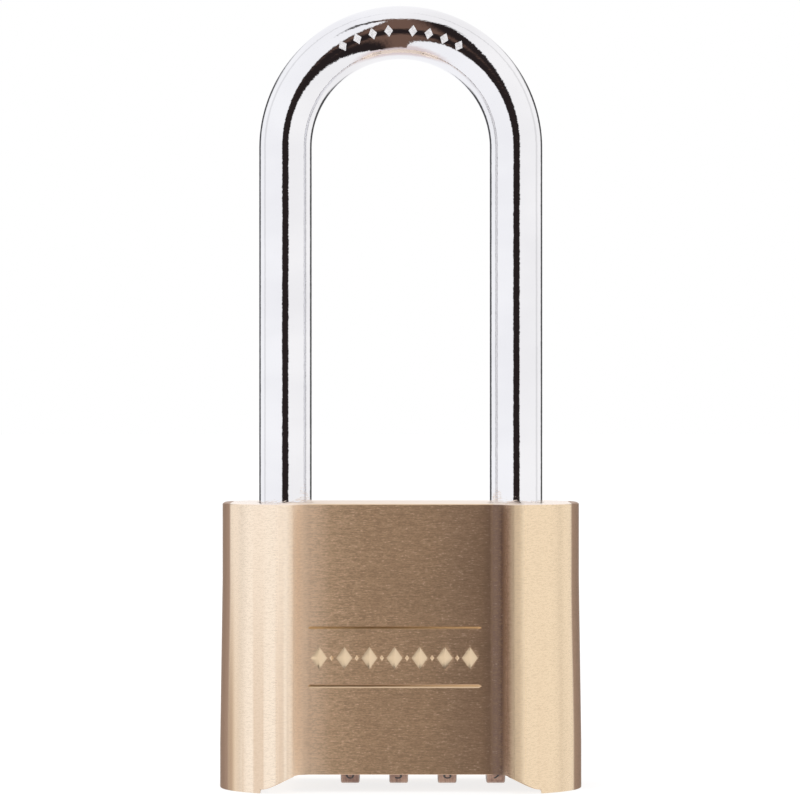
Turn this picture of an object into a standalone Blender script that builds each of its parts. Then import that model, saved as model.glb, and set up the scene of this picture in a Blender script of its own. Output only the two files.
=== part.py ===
"""Combination padlock: brass body, chromed shackle and four dials in the underside.

Lengths are in millimetres and become metres when a piece is placed. X is right, -Y is the front and +Z is up.
The origin is the centre of the two feet that the body stands on. The shackle is closed and the code is dialled,
so the locking bar is drawn back and each joint can move by itself.
"""

import math

import bmesh
import bpy
from mathutils import Matrix

MM = 0.001
GAP = 0.3  # clearance between neighbouring pieces
OVER = 1.0  # how far a cutter runs past the face it cuts
MERGE = 0.001  # points closer than this are one point

# Body
BODY_HEIGHT = 41.0
BODY_HALF_WIDTH = 25.7  # at the top
BODY_HALF_DEPTH = 14.6  # over the pillars
PANEL_HALF_DEPTH = 11.2  # over the flat panel between the pillars
SIDE_FLAT = 2.5  # half the width of the flat strip down each side
PILLAR_TURN = 77.0  # degrees of the large arc, from the side strip to the shoulder
SHOULDER_RADIUS = 0.8
FILLET_RADIUS = 2.5
CORNER_STEPS = (10, 5, 6)  # on the pillar, shoulder and fillet arcs
TOP_CHAMFER = 0.3
FOOT_FLARE = 0.35  # how much wider each side stands at the feet
FLARE_TOP = 30.0
FLARE_BOTTOM = 6.6
ARCH_HEIGHT = 2.5
ARCH_STEP = 0.55  # small upright edge where the arch meets a foot
ARCH_INSET = 5.7  # from the body's side to the arch's edge
ARCH_SLOPE = 5.7  # width of the curved slope at each end of the arch
ARCH_STEPS = 8  # on each slope
LINE_HEIGHTS = ((15.1, 0.6), (23.4, 0.4))  # each engraved line's height and width
LINE_START = -13.2
LINE_END = 11.4
LINE_DEPTH = 0.15

# Shackle
BAR_RADIUS = 3.85
BORE_CLEARANCE = 0.25
LEG_INSET = 9.0  # from the body's side to a leg's axis
BEND_HEIGHT = 51.35  # of the bend's centre over the body
TOE_DEPTH = 11.0  # how far the toe enters the body
TOE_CLEAR = 0.5  # how far the toe ends over the body when the shackle is lifted
TOE_CHAMFER = 0.8
HEEL_CHAMFER = 0.4  # also at each end of the neck
BAR_SIDES = 24
BEND_STEPS = 24
NOTCH_DEPTH = 1.9
NOTCH_BOTTOM = 2.2  # from the toe's end to the notch
NOTCH_HEIGHT = 3.6
NOTCH_FLARE = 1.0  # how much the notch widens, up and down, past its mouth
NECK_RADIUS = 2.5
HEEL_FOOT = 4.0  # length of full bar below the neck
BORE_FLOOR = 1.4  # room left under each leg
HEEL_PIN_RADIUS = 1.2
HEEL_PIN_DEPTH = 17.0  # from the body's top to the pin
HEEL_PIN_OVERHANG = 5.5  # how far the pin runs past the leg's axis towards the front

# Dials
DIAL_COUNT = 4
DIAL_FACES = 10
DIAL_APOTHEM = 7.95
DIAL_CORNER = 0.3  # how far the blunted corners stand out from the flats
DIAL_WIDTH = 2.7
DIAL_PITCH = 7.0
DIAL_CHAMFER = 0.25
FIRST_DIAL_X = -7.3
DIAL_FLOOR = 0.5  # from the feet up to the dials' lowest flat
RECESS_DEPTH = 1.35  # of the toothed clutch recess in each dial's right side

# Hubs and spindle
SPINDLE_RADIUS = 1.3
TAIL_RADIUS = 0.9
JOURNAL_RADIUS = 2.5
CORE_RADIUS = 2.2
CLUTCH_TIP = 3.6
CLUTCH_ROOT = 2.95
CLUTCH_START = 0.3  # along the spindle from a dial's middle
CLUTCH_END = 1.2
CLUTCH_GAP = 0.4  # radial, between the clutch teeth and their recess
FLANGE_RADIUS = 4.7
FLANGE_START = 2.55
FLANGE_END = 3.25
GATE_RADIUS = 3.65
HUB_RIGHT = 3.4
FIRST_HUB_LEFT = -1.3
COLLAR_LENGTH = 0.5
RESET_SHIFT = 1.15  # how far the reset cam draws the spindle and hubs
SPRING_ROOM = 1.6  # for the wave washer
WASHER_THICKNESS = 0.25
WASHER_WAVES = 3
WASHER_STEPS = 36

# Locking bar
BAR_HALF_THICKNESS = 1.2
SPINE_HEIGHT = 3.0
SPINE_OVERHANG = 0.4
FIN_OFFSET = 1.6  # from a dial's middle, with the bar drawn back
FIN_WIDTH = 0.7
ARM_WIDTH = 2.4
ARM_SETBACK = 1.7  # from the arm to the nose's tip
NOSE_HEIGHT = 2.8
NOSE_RAMP = 1.1
BAR_TRAVEL = 1.9
BAR_SPRING_LENGTH = 4.1
BAR_SPRING_RADIUS = 0.9
BAR_SPRING_WIRE = 0.25
BAR_SPRING_TURNS = 6
COIL_STEPS = 12  # in each turn

# Dial frame and its screws
PLATE_THICKNESS = 0.8
PLATE_RISE = 0.1  # how far the plate sits up inside the arch
PLATE_HALF_DEPTH = 9.6
PLATE_END = 4.4  # how far the plate runs left past the left cheek
LEFT_CHEEK = 1.7
RIGHT_CHEEK = 0.8
CHEEK_HALF_DEPTH = 4.0
TONGUE_LENGTH = 2.6
TONGUE_HALF_DEPTH = 4.0
TONGUE_THICKNESS = 1.0
SCREW_RADIUS = 0.85
SCREW_HEAD = 1.6
SCREW_HEAD_HEIGHT = 0.6
SCREW_LENGTH = 5.2
SCREW_INSET = 2.2  # from the plate's end
SCREW_Y = 7.9
DRIVER_SLOT = 0.4

# Detent comb
COMB_THICKNESS = 0.3
COMB_BASE = 2.1
FINGER_WIDTH = 2.0
FINGER_END = 3.4  # below the spindle

# Reset cam
CAM_RADIUS = 2.7
CAM_LENGTH = 3.1
CAM_WALL = 0.8  # body left outside the cam
CAM_BORE = 1.9
CAM_SLOT = 0.7
TAIL_ENTRY = 0.4
TOOL_HOLE_RADIUS = 1.6

# Places worked out from the sizes above
LEG_X = BODY_HALF_WIDTH - LEG_INSET
BORE_RADIUS = BAR_RADIUS + BORE_CLEARANCE
BEND_Z = BODY_HEIGHT + BEND_HEIGHT
TOE_END = BODY_HEIGHT - TOE_DEPTH
LIFT = TOE_DEPTH + TOE_CLEAR
HEEL_PIN_X = -LEG_X + NECK_RADIUS + GAP + HEEL_PIN_RADIUS
HEEL_PIN_Z = BODY_HEIGHT - HEEL_PIN_DEPTH
NECK_TOP = HEEL_PIN_Z + HEEL_PIN_RADIUS + GAP
NECK_BOTTOM = HEEL_PIN_Z - HEEL_PIN_RADIUS - GAP - LIFT
HEEL_END = NECK_BOTTOM - HEEL_FOOT
NOTCH_Z = TOE_END + NOTCH_BOTTOM

SPINDLE_Z = DIAL_FLOOR + DIAL_APOTHEM
DIAL_RADIUS = DIAL_APOTHEM + DIAL_CORNER
DIAL_XS = [FIRST_DIAL_X + k * DIAL_PITCH for k in range(DIAL_COUNT)]
COLLAR_RIGHT = FIRST_DIAL_X + FIRST_HUB_LEFT - GAP
CHEEK_INNER_X = COLLAR_RIGHT - COLLAR_LENGTH - GAP
CHEEK_OUTER_X = CHEEK_INNER_X - LEFT_CHEEK
RIGHT_CHEEK_X = DIAL_XS[-1] + HUB_RIGHT + SPRING_ROOM
PLATE_BOTTOM = ARCH_HEIGHT + PLATE_RISE
PLATE_TOP = PLATE_BOTTOM + PLATE_THICKNESS
PLATE_LEFT = CHEEK_OUTER_X - PLATE_END
PLATE_RIGHT = RIGHT_CHEEK_X + RIGHT_CHEEK
TONGUE_RIGHT = PLATE_RIGHT + TONGUE_LENGTH
BELOW = -OVER  # where cutters that come up from below start
SCREW_X = PLATE_LEFT + SCREW_INSET
POCKET_LEFT = CHEEK_OUTER_X - GAP
POCKET_RIGHT = RIGHT_CHEEK_X + RIGHT_CHEEK + GAP
COMB_Y = DIAL_RADIUS + GAP
POCKET_BACK = COMB_Y + COMB_THICKNESS + GAP
POCKET_FRONT = DIAL_RADIUS + GAP
POCKET_TOP = SPINDLE_Z + DIAL_RADIUS + GAP

SPINE_BOTTOM = POCKET_TOP + GAP
SPINE_TOP = SPINE_BOTTOM + SPINE_HEIGHT
SPINE_LEFT = DIAL_XS[0] + FIN_OFFSET - SPINE_OVERHANG
SPINE_RIGHT = DIAL_XS[-1] + FIN_OFFSET + FIN_WIDTH + SPINE_OVERHANG
FIN_BOTTOM = SPINDLE_Z + GATE_RADIUS + GAP
NOSE_TIP = LEG_X - BAR_RADIUS - BORE_CLEARANCE - GAP
ARM_RIGHT = NOSE_TIP - ARM_SETBACK
NOSE_TOP = NOTCH_Z + (NOTCH_HEIGHT + NOSE_HEIGHT) / 2

CAM_RIGHT = BODY_HALF_WIDTH - CAM_WALL - GAP
CAM_LEFT = CAM_RIGHT - CAM_LENGTH
TAIL_END = CAM_LEFT + TAIL_ENTRY


def arc(centre, radius, start, end, steps):
    """Points along an arc, with both ends; the angles are in degrees."""
    points = []
    for i in range(steps + 1):
        angle = math.radians(start + (end - start) * i / steps)
        points.append((centre[0] + radius * math.cos(angle), centre[1] + radius * math.sin(angle)))
    return points


def box_outline(left, right, low, high):
    return [(left, low), (right, low), (right, high), (left, high)]


def star(tip, root, count):
    """An outline whose corners stand at the tip and root radii in turn."""
    points = []
    for i in range(2 * count):
        radius = root if i % 2 else tip
        angle = math.pi * i / count
        points.append((radius * math.cos(angle), radius * math.sin(angle)))
    return points


def stand(point, along, axis):
    """Puts an outline's point at a distance along X, Y or Z."""
    first, second = point
    return {"X": (along, first, second), "Y": (first, along, second), "Z": (first, second, along)}[axis]


def loft(rings):
    """A solid through matching rings of points, closed at both ends."""
    bm = bmesh.new()
    loops = [[bm.verts.new(point) for point in ring] for ring in rings]
    for low, high in zip(loops, loops[1:]):
        for i, vert in enumerate(low):
            j = (i + 1) % len(low)
            bm.faces.new((vert, low[j], high[j], high[i]))
    bm.faces.new(loops[0])
    bm.faces.new(loops[-1])
    return bm


def prism(outline, low, high, axis):
    return loft([[stand(point, along, axis) for point in outline] for along in (low, high)])


def turned(profile, steps, axis="X", centre=(0.0, 0.0)):
    """Spins a closed profile of (distance along the axis, radius) points about an axis through the centre."""
    bm = bmesh.new()
    verts = [bm.verts.new((along, radius, 0.0)) for along, radius in profile]
    edges = [bm.edges.new(pair) for pair in zip(verts, verts[1:])]
    if profile[0][1] > 0.0:
        edges.append(bm.edges.new((verts[-1], verts[0])))
    bmesh.ops.spin(
        bm, geom=verts + edges, cent=(0, 0, 0), axis=(1, 0, 0), angle=math.tau, steps=steps, use_merge=True
    )
    bmesh.ops.remove_doubles(bm, verts=bm.verts, dist=MERGE / 10)
    for vert in bm.verts:
        along, first, second = vert.co
        vert.co = stand((first + centre[0], second + centre[1]), along, axis)
    return bm


def rod(low, high, radius, steps, axis="X", centre=(0.0, 0.0)):
    return turned([(low, 0.0), (low, radius), (high, radius), (high, 0.0)], steps, axis, centre)


def as_object(name, bm):
    bmesh.ops.recalc_face_normals(bm, faces=bm.faces)
    if bm.calc_volume(signed=True) < 0.0:
        bmesh.ops.reverse_faces(bm, faces=bm.faces)
    mesh = bpy.data.meshes.new(name)
    bm.to_mesh(mesh)
    bm.free()
    obj = bpy.data.objects.new(name, mesh)
    bpy.context.scene.collection.objects.link(obj)
    return obj


def carve(base, joins=(), cuts=()):
    """The mesh of a base shape joined with some shapes and then cut by others, welded after each step."""
    body = as_object("base", base)
    steps = [("UNION", shape) for shape in joins] + [("DIFFERENCE", shape) for shape in cuts]
    for operation, shape in steps:
        tool = as_object("tool", shape)
        modifier = body.modifiers.new(operation, "BOOLEAN")
        modifier.operation = operation
        modifier.solver = "EXACT"
        modifier.object = tool
        depsgraph = bpy.context.evaluated_depsgraph_get()
        mesh = bpy.data.meshes.new_from_object(body.evaluated_get(depsgraph))
        body.modifiers.clear()
        body.data = weld(mesh)
        bpy.data.objects.remove(tool)
    mesh = body.data
    bpy.data.objects.remove(body)
    return mesh


def weld(mesh):
    bm = bmesh.new()
    bm.from_mesh(mesh)
    bmesh.ops.remove_doubles(bm, verts=bm.verts, dist=MERGE)
    bmesh.ops.dissolve_degenerate(bm, edges=bm.edges, dist=MERGE)
    bmesh.ops.dissolve_limit(bm, angle_limit=0.0001, verts=bm.verts, edges=bm.edges)
    bm.to_mesh(mesh)
    bm.free()
    return mesh


def metal(name, colour, roughness):
    material = bpy.data.materials.new(name)
    material.use_nodes = True
    shader = material.node_tree.nodes["Principled BSDF"]
    shader.inputs["Base Color"].default_value = (*colour, 1.0)
    shader.inputs["Metallic"].default_value = 1.0
    shader.inputs["Roughness"].default_value = roughness
    return material


def place(name, mesh, material, location=(0.0, 0.0, 0.0), parent=None, smooth=True):
    """Names a mesh, turns its millimetres into metres once and puts it in the scene."""
    if not mesh.materials:
        mesh.transform(Matrix.Scale(MM, 4))
        mesh.materials.append(material)
        if smooth:
            mesh.shade_smooth()
            mesh.set_sharp_from_angle(angle=math.radians(30.0))
    obj = bpy.data.objects.new(name, mesh)
    obj.location = [MM * value for value in location]
    obj.parent = parent
    bpy.context.scene.collection.objects.link(obj)
    return obj


def empty(name, location):
    obj = bpy.data.objects.new(name, None)
    obj.location = [MM * value for value in location]
    bpy.context.scene.collection.objects.link(obj)
    return obj


def body_corner(inset):
    """One quarter of the body's outline: pillar, shoulder and fillet arcs that meet without a kink."""
    shoulder_y = BODY_HALF_DEPTH - SHOULDER_RADIUS
    turn = math.radians(PILLAR_TURN)
    reach = (shoulder_y - SIDE_FLAT) / math.sin(turn)
    pillar_radius = reach + SHOULDER_RADIUS
    pillar_x = BODY_HALF_WIDTH - pillar_radius
    shoulder_x = pillar_x + reach * math.cos(turn)
    fillet_y = PANEL_HALF_DEPTH + FILLET_RADIUS
    drop = fillet_y - shoulder_y
    run = math.sqrt((SHOULDER_RADIUS + FILLET_RADIUS) ** 2 - drop**2)
    tilt = math.degrees(math.atan2(drop, run))
    pillar_steps, shoulder_steps, fillet_steps = CORNER_STEPS
    pillar = arc((pillar_x, SIDE_FLAT), pillar_radius - inset, 0.0, PILLAR_TURN, pillar_steps)
    shoulder = arc((shoulder_x, shoulder_y), SHOULDER_RADIUS - inset, PILLAR_TURN, 180.0 - tilt, shoulder_steps)
    fillet = arc((shoulder_x - run, fillet_y), FILLET_RADIUS + inset, -tilt, -90.0, fillet_steps)
    return pillar + shoulder[1:] + fillet[1:]


def body_ring(z, inset=0.0):
    """The body's outline at a height, a little wider towards the feet."""
    corner = body_corner(inset)
    panel_x = corner[-1][0]
    wider = FOOT_FLARE * min(max((FLARE_TOP - z) / (FLARE_TOP - FLARE_BOTTOM), 0.0), 1.0)
    corner = [(x + wider * (x - panel_x) / (BODY_HALF_WIDTH - panel_x), y) for x, y in corner]
    back = corner + [(-x, y) for x, y in reversed(corner)]
    ring = back + [(-x, -y) for x, y in back]
    return [(x, y, z) for x, y in ring]


def arch_outline():
    """The opening under the body: a flat middle with a curved slope down to each foot."""
    foot_x = BODY_HALF_WIDTH - ARCH_INSET
    slope = []
    for i in range(ARCH_STEPS + 1):
        t = i / ARCH_STEPS
        eased = t * t * (3.0 - 2.0 * t)
        slope.append((foot_x - ARCH_SLOPE * t, ARCH_STEP + (ARCH_HEIGHT - ARCH_STEP) * eased))
    right = [(foot_x, BELOW)] + slope
    return right + [(-x, z) for x, z in reversed(right)]


def bar_passage():
    """The slot that the locking bar slides in, seen from the front."""
    left = SPINE_LEFT - 2 * GAP - BAR_SPRING_LENGTH
    right = SPINE_RIGHT + BAR_TRAVEL + GAP
    arm_left = ARM_RIGHT - ARM_WIDTH - GAP
    arm_right = LEG_X - math.sqrt(BORE_RADIUS**2 - (BAR_HALF_THICKNESS + GAP) ** 2) + GAP
    low = SPINE_BOTTOM - 2 * GAP
    high = SPINE_TOP + GAP
    spine = box_outline(left, right, low, high)
    arm = [(arm_right, high), (arm_right, NOSE_TOP + GAP), (arm_left, NOSE_TOP + GAP), (arm_left, high)]
    return spine[:3] + arm + spine[3:]


def frame_recess():
    """Cutters for the dial frame's plate, its tongue and its screws."""
    plate = prism(
        box_outline(PLATE_LEFT - GAP, POCKET_RIGHT, BELOW, PLATE_TOP + GAP),
        -PLATE_HALF_DEPTH - GAP,
        PLATE_HALF_DEPTH + GAP,
        "Y",
    )
    low, high = tongue_heights()
    tongue = prism(
        box_outline(PLATE_RIGHT, TONGUE_RIGHT + GAP, low - GAP, high + GAP),
        -TONGUE_HALF_DEPTH - GAP,
        TONGUE_HALF_DEPTH + GAP,
        "Y",
    )
    screws = [
        rod(BELOW, PLATE_BOTTOM + SCREW_LENGTH + 2 * GAP, SCREW_RADIUS + GAP, 16, "Z", (SCREW_X, y))
        for y in (-SCREW_Y, SCREW_Y)
    ]
    return screws + [plate, tongue]


def tongue_heights():
    low = PLATE_TOP - PLATE_THICKNESS / 4
    return low, low + TONGUE_THICKNESS


def make_body(brass):
    levels = [0.0, FLARE_BOTTOM, FLARE_TOP, BODY_HEIGHT - TOP_CHAMFER]
    base = loft([body_ring(z) for z in levels] + [body_ring(BODY_HEIGHT, TOP_CHAMFER)])
    over = BODY_HEIGHT + OVER
    deep = BODY_HALF_DEPTH + OVER
    slot_half = BAR_HALF_THICKNESS + GAP
    cam_end = CAM_RIGHT + GAP
    cuts = [
        prism(arch_outline(), -deep, deep, "Y"),
        rod(TOE_END - BORE_FLOOR, over, BORE_RADIUS, 32, "Z", (LEG_X, 0.0)),
        rod(HEEL_END - BORE_FLOOR, over, BORE_RADIUS, 32, "Z", (-LEG_X, 0.0)),
        prism(box_outline(POCKET_LEFT, POCKET_RIGHT, BELOW, POCKET_TOP), -POCKET_FRONT, POCKET_BACK, "Y"),
        prism(bar_passage(), -slot_half, slot_half, "Y"),
        rod(POCKET_RIGHT - OVER, cam_end, CAM_RADIUS + GAP, 24, "X", (0.0, SPINDLE_Z)),
        rod(cam_end - OVER, BODY_HALF_WIDTH + FOOT_FLARE + OVER, TOOL_HOLE_RADIUS, 20, "X", (0.0, SPINDLE_Z)),
        rod(-HEEL_PIN_OVERHANG - GAP, deep, HEEL_PIN_RADIUS + GAP, 20, "Y", (HEEL_PIN_X, HEEL_PIN_Z)),
    ]
    for height, width in LINE_HEIGHTS:
        outline = box_outline(LINE_START, LINE_END, height - width / 2, height + width / 2)
        cuts.append(prism(outline, -deep, LINE_DEPTH - PANEL_HALF_DEPTH, "Y"))
    return place("case_body", carve(base, cuts=cuts + frame_recess()), brass)


def shackle_stations():
    """Centre, direction angle and radius at each ring, from the heel's end over the bend to the toe's end."""
    heel = [
        (HEEL_END, BAR_RADIUS - HEEL_CHAMFER),
        (HEEL_END + HEEL_CHAMFER, BAR_RADIUS),
        (NECK_BOTTOM - HEEL_CHAMFER, BAR_RADIUS),
        (NECK_BOTTOM, NECK_RADIUS),
        (NECK_TOP, NECK_RADIUS),
        (NECK_TOP + HEEL_CHAMFER, BAR_RADIUS),
    ]
    toe = [(TOE_END + TOE_CHAMFER, BAR_RADIUS), (TOE_END, BAR_RADIUS - TOE_CHAMFER)]
    stations = [((-LEG_X, z), 180.0, radius) for z, radius in heel]
    for i in range(BEND_STEPS + 1):
        angle = 180.0 - 180.0 * i / BEND_STEPS
        stations.append((arc((0.0, BEND_Z), LEG_X, angle, angle, 1)[0], angle, BAR_RADIUS))
    return stations + [((LEG_X, z), 0.0, radius) for z, radius in toe]


def make_shackle(chrome):
    rings = []
    for centre, angle, radius in shackle_stations():
        outward = (math.cos(math.radians(angle)), math.sin(math.radians(angle)))
        rings.append(
            [
                (centre[0] + u * outward[0], v, centre[1] + u * outward[1])
                for u, v in arc((0.0, 0.0), radius, 0.0, 360.0, BAR_SIDES)[:-1]
            ]
        )
    mouth_x = LEG_X - BAR_RADIUS - OVER
    floor_x = LEG_X - BAR_RADIUS + NOTCH_DEPTH
    notch = [
        (mouth_x, NOTCH_Z - NOTCH_FLARE),
        (floor_x, NOTCH_Z),
        (floor_x, NOTCH_Z + NOTCH_HEIGHT),
        (mouth_x, NOTCH_Z + NOTCH_HEIGHT + NOTCH_FLARE),
    ]
    mesh = carve(loft(rings), cuts=[prism(notch, -BORE_RADIUS, BORE_RADIUS, "Y")])
    return place("shackle", mesh, chrome)


def dial_ring(x, inset):
    """Ten flats with blunted corners; one flat faces down."""
    apothem = DIAL_APOTHEM - inset
    half = math.sqrt((DIAL_RADIUS - inset) ** 2 - apothem**2)
    ring = []
    for face in range(DIAL_FACES):
        angle = math.radians(-90.0 + 360.0 * face / DIAL_FACES)
        for side in (-half, half):
            y = apothem * math.cos(angle) - side * math.sin(angle)
            z = apothem * math.sin(angle) + side * math.cos(angle)
            ring.append((x, y, z))
    return ring


def make_dials(brass, axis):
    half = DIAL_WIDTH / 2
    rings = [(-half, DIAL_CHAMFER), (DIAL_CHAMFER - half, 0.0), (half - DIAL_CHAMFER, 0.0), (half, DIAL_CHAMFER)]
    base = loft([dial_ring(x, inset) for x, inset in rings])
    bore = rod(-DIAL_WIDTH, DIAL_WIDTH, JOURNAL_RADIUS + GAP, 24)
    teeth = star(CLUTCH_TIP + CLUTCH_GAP, CLUTCH_ROOT + CLUTCH_GAP, DIAL_FACES)
    recess = prism(teeth, half - RECESS_DEPTH, DIAL_WIDTH, "X")
    mesh = carve(base, cuts=[bore, recess])
    return [
        place(f"dial_{k + 1}", mesh, brass, (x, 0.0, 0.0), axis, smooth=False) for k, x in enumerate(DIAL_XS)
    ]


def hub_mesh(left):
    """A hub whose journal starts at a distance left of its dial's middle."""
    journal_end = (CLUTCH_START + CLUTCH_END) / 2
    base = turned(
        [
            (left, 0.0),
            (left, JOURNAL_RADIUS),
            (journal_end, JOURNAL_RADIUS),
            (journal_end, CORE_RADIUS),
            (HUB_RIGHT, CORE_RADIUS),
            (HUB_RIGHT, 0.0),
        ],
        24,
    )
    clutch = prism(star(CLUTCH_TIP, CLUTCH_ROOT, DIAL_FACES), CLUTCH_START, CLUTCH_END, "X")
    gate_half = BAR_HALF_THICKNESS + GAP
    edge = math.degrees(math.asin(gate_half / FLANGE_RADIUS))
    rim = arc((0.0, 0.0), FLANGE_RADIUS, 90.0 + edge, 450.0 - edge, 30)
    gate = [(gate_half, GATE_RADIUS), (-gate_half, GATE_RADIUS)]
    flange = prism(rim + gate, FLANGE_START, FLANGE_END, "X")
    bore = rod(left - OVER, HUB_RIGHT + OVER, SPINDLE_RADIUS + GAP, 20)
    return carve(base, joins=[clutch, flange], cuts=[bore])


def make_hubs(steel, dials):
    first = hub_mesh(FIRST_HUB_LEFT)
    others = hub_mesh(HUB_RIGHT + GAP - DIAL_PITCH)
    for k, dial in enumerate(dials):
        place(f"hub_{k + 1}", others if k else first, steel, parent=dial)


def make_spindle(steel, axis):
    left = CHEEK_OUTER_X + GAP / 2
    shoulder = RIGHT_CHEEK_X - RESET_SHIFT - GAP
    profile = [
        (left, 0.0),
        (left, SPINDLE_RADIUS),
        (COLLAR_RIGHT - COLLAR_LENGTH, SPINDLE_RADIUS),
        (COLLAR_RIGHT - COLLAR_LENGTH, JOURNAL_RADIUS),
        (COLLAR_RIGHT, JOURNAL_RADIUS),
        (COLLAR_RIGHT, SPINDLE_RADIUS),
        (shoulder, SPINDLE_RADIUS),
        (shoulder, TAIL_RADIUS),
        (TAIL_END, TAIL_RADIUS),
        (TAIL_END, 0.0),
    ]
    place("spindle", carve(turned(profile, 20)), steel, parent=axis)


def make_reset_cam(steel, axis):
    base = rod(CAM_LEFT, CAM_RIGHT, CAM_RADIUS, 24)
    bore = rod(CAM_LEFT - OVER, CAM_LEFT + CAM_BORE, TAIL_RADIUS + GAP, 16)
    slot_outline = box_outline(-CAM_RADIUS, CAM_RADIUS, -DRIVER_SLOT, DRIVER_SLOT)
    slot = prism(slot_outline, CAM_RIGHT - CAM_SLOT, CAM_RIGHT + OVER, "X")
    place("reset_cam", carve(base, cuts=[bore, slot]), steel, parent=axis)


def make_locking_bar(steel):
    """Spine, four fins, arm and nose, all in one thickness of plate."""
    outline = [(SPINE_LEFT, SPINE_BOTTOM)]
    for x in DIAL_XS:
        fin = x + FIN_OFFSET
        outline.append((fin, SPINE_BOTTOM))
        outline.append((fin, FIN_BOTTOM))
        outline.append((fin + FIN_WIDTH, FIN_BOTTOM))
        outline.append((fin + FIN_WIDTH, SPINE_BOTTOM))
    outline += [
        (SPINE_RIGHT, SPINE_BOTTOM),
        (SPINE_RIGHT, SPINE_TOP),
        (ARM_RIGHT, SPINE_TOP),
        (ARM_RIGHT, NOSE_TOP - NOSE_HEIGHT),
        (NOSE_TIP, NOSE_TOP - NOSE_HEIGHT),
        (NOSE_TIP, NOSE_TOP - NOSE_RAMP),
        (NOSE_TIP - NOSE_RAMP, NOSE_TOP),
        (ARM_RIGHT - ARM_WIDTH, NOSE_TOP),
        (ARM_RIGHT - ARM_WIDTH, SPINE_TOP),
        (SPINE_LEFT, SPINE_TOP),
    ]
    place("locking_bar", carve(prism(outline, -BAR_HALF_THICKNESS, BAR_HALF_THICKNESS, "Y")), steel)


def make_bar_spring(steel):
    """A coil along X, from the passage's end to the locking bar."""
    steps = COIL_STEPS * BAR_SPRING_TURNS
    right = SPINE_LEFT - GAP - BAR_SPRING_WIRE
    length = BAR_SPRING_LENGTH - 2 * BAR_SPRING_WIRE
    height = (SPINE_BOTTOM + SPINE_TOP) / 2
    rings = []
    for i in range(steps + 1):
        turn = math.tau * i / COIL_STEPS
        x = right - length * i / steps
        ring = []
        for u, v in arc((0.0, 0.0), BAR_SPRING_WIRE, 0.0, 360.0, 6)[:-1]:
            radius = BAR_SPRING_RADIUS + v
            ring.append((x + u, radius * math.cos(turn), height + radius * math.sin(turn)))
        rings.append(ring)
    place("locking_bar_spring", carve(loft(rings)), steel)


def make_hub_spring(steel, axis):
    """A wave washer between the last hub and the right cheek."""
    half = WASHER_THICKNESS / 2
    middle = RIGHT_CHEEK_X - SPRING_ROOM / 2
    height = SPRING_ROOM / 2 - GAP - half
    section = box_outline(-half, half, TAIL_RADIUS + 2 * GAP, JOURNAL_RADIUS)
    bm = bmesh.new()
    loops = []
    for i in range(WASHER_STEPS):
        angle = math.tau * i / WASHER_STEPS
        wave = middle + height * math.cos(WASHER_WAVES * angle)
        loops.append(
            [bm.verts.new((wave + x, r * math.cos(angle), r * math.sin(angle))) for x, r in section]
        )
    for i, low in enumerate(loops):
        high = loops[(i + 1) % WASHER_STEPS]
        for j in range(len(section)):
            k = (j + 1) % len(section)
            bm.faces.new((low[j], low[k], high[k], high[j]))
    place("hub_return_spring", carve(bm), steel, parent=axis)


def make_detent_spring(steel):
    """A comb behind the dials: a strip along the top with a finger down to each dial."""
    left = POCKET_LEFT + GAP
    right = POCKET_RIGHT - GAP
    top = POCKET_TOP - GAP
    low = top - COMB_BASE
    end = SPINDLE_Z - FINGER_END
    outline = [(left, top), (left, low)]
    for x in DIAL_XS:
        outline += [(x - FINGER_WIDTH / 2, low), (x - FINGER_WIDTH / 2, end)]
        outline += [(x + FINGER_WIDTH / 2, end), (x + FINGER_WIDTH / 2, low)]
    outline += [(right, low), (right, top)]
    place("detent_spring", carve(prism(outline, COMB_Y, COMB_Y + COMB_THICKNESS, "Y")), steel)


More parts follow.
